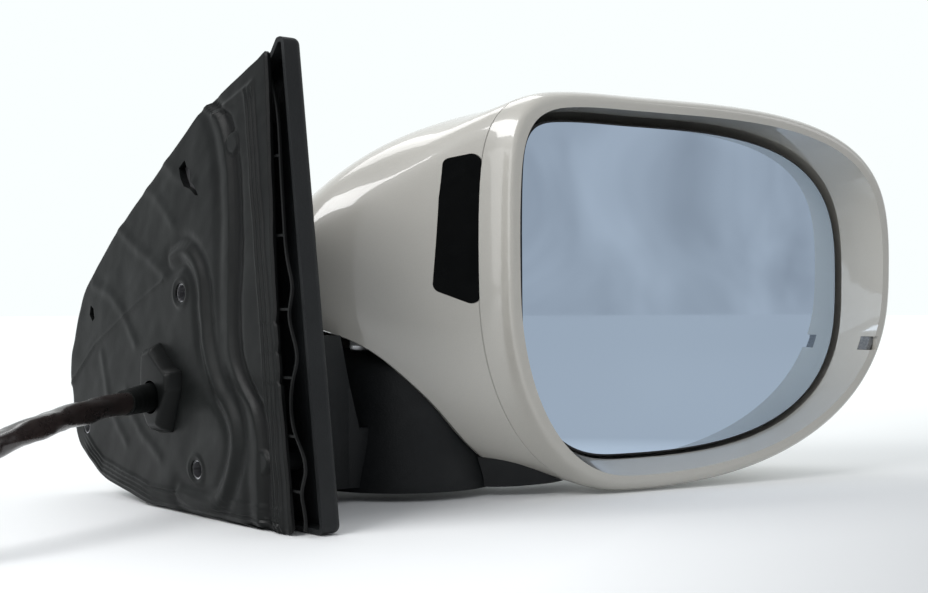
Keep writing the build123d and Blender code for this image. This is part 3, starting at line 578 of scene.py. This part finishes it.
# ------------------------------------------------------------------ gasket
# The rubber face lies in Y and Z, and stands out towards -X. All in millimetres.
# A ridge or groove has a form: its height, and how far to each side it falls to a third of that.
FACE_FOOT, FACE_TOP = -56.0, 131.0  # Z of the gasket's ends
SKIN = 1.1  # depth of the plain rubber face under the highest beads
RELIEF = 1.45  # all heights of the relief are scaled by this
FACE_OUT, FACE_IN = -1.4, 2.4  # X that the relief stays between
RUBBER_BACK = 2.95
EDGE_DROP, EDGE_ROUND = 0.7, 1.6  # the face falls away by this, within this of its edge

PAD_EDGE = [(-50.0, -57.5), (-49.0, -38.0), (-49.0, -23.0), (-45.0, -9.5), (-35.0, -1.0), (-27.0, 11.0),
            (-26.0, 30.0), (-28.0, 60.0), (-26.0, 89.0), (-20.0, 106.0), (-12.0, 111.0), (-8.0, 114.0)]
PAD_STEP, PAD_SLOPE = 0.75, 3.0
PAD_GROOVES = [(-4.5, (1.0, 3.0)), (8.5, (0.5, 3.4))]  # distance past the pad's edge, form
BEAD = [(19.0, 51.0), (9.0, 54.5), (0.5, 50.0), (-5.5, 41.0), (-6.5, 25.0), (-9.0, 12.5), (-16.0, -2.0),
        (-28.0, -12.0), (-32.0, -22.0), (-29.0, -34.0), (-23.0, -45.0), (-17.0, -50.0), (-5.0, -50.5),
        (12.0, -48.5)]
BEAD_FORM, BEAD_GROOVE, BEAD_GROOVE_GAP = (1.05, 3.0), (0.55, 2.4), 5.5
RIB_TOP, RIB_FOOT = (-42.5, 118.0), (-64.0, -55.0)
REAR_RIBS, REAR_RIB_FORM, REAR_RIB_FADE = (0.0, 2.8, 5.6), (0.5, 0.85), 3.0
FRAME_RIB, FRAME_RIB_FORM = [(-14.0, 108.5), RIB_TOP], (0.5, 1.3)
LOWER_EDGE = [(116.0, -12.0), (111.5, -32.0), (86.0, -47.5), (40.0, -55.6), (-4.0, -56.0), (-72.0, -56.0)]
LOWER_RIBS, LOWER_RIB_FORM = (2.6, 4.6, 6.6, 8.6), (0.42, 0.6)
LOWER_REAR, LOWER_REAR_FADE = -66.0, 4.0
LOWER_FRONT, LOWER_FRONT_FADE = 104.0, 8.0
MOULD_LINE, MOULD_FORM = [(119.0, -9.0), (91.0, 12.0), (57.0, 28.5), (27.0, 41.0)], (0.34, 0.55)
BOLT_HOLES = [(12.0, 36.0, 4.1), (-1.0, -37.0, 4.1), (100.0, -26.0, 3.2)]  # Y, Z and radius
LIPPED_HOLES, LIP_GAP, LIP_FORM = BOLT_HOLES[:2], 1.5, (0.4, 0.8)
CREASES = [
    [(68.0, 66.0), (52.0, 56.0), (38.0, 51.0), (26.0, 44.0)],
    [(50.0, 84.0), (34.0, 79.0), (20.0, 66.0)],
    [(30.0, 95.0), (14.0, 84.0), (2.0, 82.0)],
    [(92.0, 40.0), (70.0, 34.0), (52.0, 14.0)],
    [(60.0, -8.0), (52.0, -22.0), (30.0, -34.0)],
    [(84.0, 8.0), (76.0, -16.0), (60.0, -30.0)],
]
CREASE_FORM, CREASE_FADE = (0.32, 2.6), 6.0
WANDER = 0.35  # unevenness of the whole face, and its fineness along Y, along Z and slanting
WANDER_FINE, WANDER_PLACE = (0.035, 0.05, 0.02), 3.1
SCREW_CAPS = [(-28.0, 96.0), (-50.0, -30.0), (78.0, 12.0)]  # low round pads over the cover screws
CAP_RADIUS, CAP_SLOPE, CAP_RISE = 4.9, 1.2, 0.65
CLIP_SLOTS = [
    [(13.5, 88.5), (9.0, 91.5), (7.0, 88.0), (5.0, 87.5), (3.5, 82.0), (1.0, 80.5), (-2.0, 76.0),
     (0.5, 76.5), (4.0, 79.0), (9.0, 80.5), (11.5, 84.5)],
    [(95.5, 30.5), (92.5, 29.0), (91.5, 24.5), (93.5, 23.0), (96.5, 26.0)],
]
CUT_REACH = 8.0  # cutters run from this far in front of the door's plane to this far behind
FACE_ROWS, FACE_COLUMNS = 210, 240
FINER_REAR = 1.35  # the mesh is finer towards the ribs at the rear edge
ROW_INSET = 0.02  # first and last rows are this far inside the outline
ON_PLANE = 0.01

BOSS_FOOT = [(39.5, 12.0), (30.0, 14.8), (16.0, 4.6), (10.8, 3.4), (10.6, -4.5), (18.5, -23.0),
             (30.5, -23.8), (40.0, -14.0)]
BOSS_FACE = [(34.0, 9.0), (27.5, 10.8), (16.5, 3.2), (13.6, 1.5), (13.8, -5.0), (21.0, -19.5),
             (28.5, -19.8), (35.0, -11.5)]
BOSS_OUT = -7.0
BOSS_LEVELS = [  # X, and the share of the way from the foot's outline to the face's
    (2.8, 0.0), (0.4, 0.0), (-1.0, 0.10), (-4.6, 0.42), (BOSS_OUT + 0.9, 0.80), (BOSS_OUT, 1.0),
]
BOSS_ROUND = 1.1
CABLE_MOUTH, MOUTH_RADIUS = (25.8, -8.2), 7.1
MOUTH_IN, MOUTH_OUT = 4.0, -20.0  # X that the mouth is bored between


def rounded(run, rounds):
    """A run of straight lines with its corners cut down to soft ones."""
    for _ in range(rounds):
        cut = [run[0]]
        for (ay, az), (by, bz) in zip(run, run[1:]):
            cut.append((ay * 0.75 + by * 0.25, az * 0.75 + bz * 0.25))
            cut.append((ay * 0.25 + by * 0.75, az * 0.25 + bz * 0.75))
        run = cut + [run[-1]]
    return run


PAD_LINE = rounded(PAD_EDGE, 2)
BEAD_LINE = rounded(BEAD, 2)
CREASE_LINES = [rounded(crease, 1) for crease in CREASES]


def reach(y, z, run):
    """Distance from a place to a run of straight lines."""
    best = math.inf
    for (ay, az), (by, bz) in zip(run, run[1:]):
        dy, dz = by - ay, bz - az
        share = min(1.0, max(0.0, ((y - ay) * dy + (z - az) * dz) / (dy * dy + dz * dz)))
        best = min(best, math.hypot(y - ay - share * dy, z - az - share * dz))
    return best


def level_at(run, z):
    """Y of a run that climbs in z, at a level."""
    for (ay, az), (by, bz) in zip(run, run[1:]):
        if z <= bz:
            return ay + (by - ay) * max(0.0, (z - az) / (bz - az))
    return run[-1][0]


def ridge(distance, form):
    """Height of a soft ridge at a distance from its line."""
    rise, width = form
    return rise * math.exp(-(distance / width) ** 2)


def step(value):
    """Soft step from 0 to 1."""
    value = min(1.0, max(0.0, value))
    return value * value * (3.0 - 2.0 * value)


def pad_relief(pad):
    """The raised middle and the grooves along its edge, from a distance past that edge."""
    return PAD_STEP * step(pad / PAD_SLOPE + 0.5) - sum(ridge(pad - gap, form) for gap, form in PAD_GROOVES)


def bead_relief(y, z):
    """The winding bead and the groove beside it."""
    bead = reach(y, z, BEAD_LINE)
    return ridge(bead, BEAD_FORM) - ridge(bead - BEAD_GROOVE_GAP, BEAD_GROOVE)


def rib_relief(y, z):
    """Sealing ribs along the rear edge, across the top and round the lower edge."""
    share = (RIB_TOP[1] - z) / (RIB_TOP[1] - RIB_FOOT[1])
    across = y - (RIB_TOP[0] + (RIB_FOOT[0] - RIB_TOP[0]) * share)
    fade = step((RIB_TOP[1] - z) / REAR_RIB_FADE)
    rear = fade * sum(ridge(across - gap, REAR_RIB_FORM) for gap in REAR_RIBS)
    low = reach(y, z, LOWER_EDGE)
    fade = step((y - LOWER_REAR) / LOWER_REAR_FADE) * step((LOWER_FRONT - y) / LOWER_FRONT_FADE)
    lower = fade * sum(ridge(low - gap, LOWER_RIB_FORM) for gap in LOWER_RIBS)
    return rear + ridge(reach(y, z, FRAME_RIB), FRAME_RIB_FORM) + lower


def mark_relief(y, z, pad):
    """The mould's parting line, the lips round two holes, and creases in the raised middle."""
    tall = ridge(reach(y, z, MOULD_LINE), MOULD_FORM)
    for hole_y, hole_z, radius in LIPPED_HOLES:
        tall += ridge(math.hypot(y - hole_y, z - hole_z) - radius - LIP_GAP, LIP_FORM)
    fade = step(pad / CREASE_FADE)
    return tall + fade * sum(ridge(reach(y, z, crease), CREASE_FORM) for crease in CREASE_LINES)


def relief(y, z):
    """How far the rubber face stands out at a place."""
    pad = y - level_at(PAD_LINE, z)
    tall = pad_relief(pad) + bead_relief(y, z) + rib_relief(y, z) + mark_relief(y, z, pad)
    fine_y, fine_z, slant = WANDER_FINE
    spot = Vector((y * fine_y, z * fine_z + y * slant, WANDER_PLACE))
    wander = noise.fractal(spot, 1.0, 2.0, 3)
    tall = RELIEF * (tall + WANDER * wander)
    for cap_y, cap_z in SCREW_CAPS:
        cover = step((CAP_RADIUS - math.hypot(y - cap_y, z - cap_z)) / CAP_SLOPE)
        tall += cover * max(0.0, CAP_RISE - tall)
    return tall


def outline_rows(name, rows):
    """Levels and the Y range of a plate's outline at each, read from its CAD node."""
    mesh = nodes[name].data
    low, high = (1000 * corner.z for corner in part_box(name))
    runs = []
    for edge in mesh.edges:
        one, two = (mesh.vertices[i].co * 1000 for i in edge.vertices)
        if max(abs(one.x), abs(two.x)) < ON_PLANE and abs(one.z - two.z) > 1e-6:
            runs.append((one, two))
    for row in range(rows + 1):
        z = low + ROW_INSET + (high - low - 2 * ROW_INSET) * row / rows
        cuts = [one.y + (two.y - one.y) * (z - one.z) / (two.z - one.z) for one, two in runs
                if min(one.z, two.z) <= z <= max(one.z, two.z)]
        yield z, min(cuts), max(cuts)


def face_mesh():
    """Closed slab of rubber, its front in relief and its back flat."""
    bm = bmesh.new()
    front, back = [], []
    for z, y_low, y_high in outline_rows("base_gasket", FACE_ROWS):
        front.append([])
        back.append([])
        for column in range(FACE_COLUMNS + 1):
            y = y_low + (y_high - y_low) * (column / FACE_COLUMNS) ** FINER_REAR
            margin = min(y - y_low, y_high - y, z - FACE_FOOT, FACE_TOP - z)
            drop = EDGE_DROP * (1.0 - step(margin / EDGE_ROUND))
            x = min(FACE_IN, max(FACE_OUT, SKIN - relief(y, z) + drop))
            front[-1].append(bm.verts.new(mm(x, y, z)))
            back[-1].append(bm.verts.new(mm(RUBBER_BACK, y, z)))
    for grid in (front, back):
        for r in range(FACE_ROWS):
            for c in range(FACE_COLUMNS):
                bm.faces.new((grid[r][c], grid[r + 1][c], grid[r + 1][c + 1], grid[r][c + 1]))
    border = [(0, c) for c in range(FACE_COLUMNS)] + [(r, FACE_COLUMNS) for r in range(FACE_ROWS)]
    border += [(FACE_ROWS, c) for c in range(FACE_COLUMNS, 0, -1)] + [(r, 0) for r in range(FACE_ROWS, 0, -1)]
    join_rings(bm, [[grid[r][c] for r, c in border] for grid in (front, back)])
    return mesh_from(bm, "gasket")


def make_gasket():
    """Rubber face with its bolt holes, clip slots and the opening for the boss."""
    gasket = piece("rubber_gasket", face_mesh(), "foot", "rubber", "base_gasket")
    outlines = [circle(*hole) for hole in BOLT_HOLES] + CLIP_SLOTS + [BOSS_FOOT]
    carve(gasket, [prism(outline, -CUT_REACH, CUT_REACH) for outline in outlines])
    smooth(gasket.data, 50.0)


def boss_mesh():
    """Eight-sided boss, rounded along its uprights and round its face."""
    bm = bmesh.new()
    rings = []
    for x, share in BOSS_LEVELS:
        places = [(ay + (by - ay) * share, az + (bz - az) * share)
                  for (ay, az), (by, bz) in zip(BOSS_FOOT, BOSS_FACE)]
        rings.append([bm.verts.new(mm(x, y, z)) for y, z in places])
    join_rings(bm, rings)
    bm.faces.new(rings[0])
    bm.faces.new(rings[-1])
    bmesh.ops.recalc_face_normals(bm, faces=bm.faces)
    uprights = [e for e in bm.edges if abs(e.verts[0].co.x - e.verts[1].co.x) > 1e-5]
    rim = [e for e in bm.edges if all(abs(v.co.x - BOSS_OUT / 1000) < 1e-6 for v in e.verts)]
    bmesh.ops.bevel(bm, geom=uprights + rim, offset=BOSS_ROUND / 1000, segments=3, profile=0.6,
                    affect="EDGES")
    return mesh_from(bm, "boss")


def make_boss():
    """Hooded rubber boss round the cable's way out."""
    boss = piece("cable_boss", boss_mesh(), "foot", "rubber", "cable_grommet")
    carve(boss, [rod((MOUTH_IN, *CABLE_MOUTH), (MOUTH_OUT, *CABLE_MOUTH), MOUTH_RADIUS)])
    smooth(boss.data, 40.0)


# ------------------------------------------------------------------ the whole scene
make_camera()
make_harness()
make_gasket()
make_boss()
for node_name, node in nodes.items():
    if node_name not in ("harness", "base_gasket", "cable_grommet"):
        coat(node, NODE_SLOT[node_name])
make_floor()
make_world()
for lamp_data in LAMPS:
    soft_light(*lamp_data)
bpy.context.scene.view_settings.view_transform = "Standard"
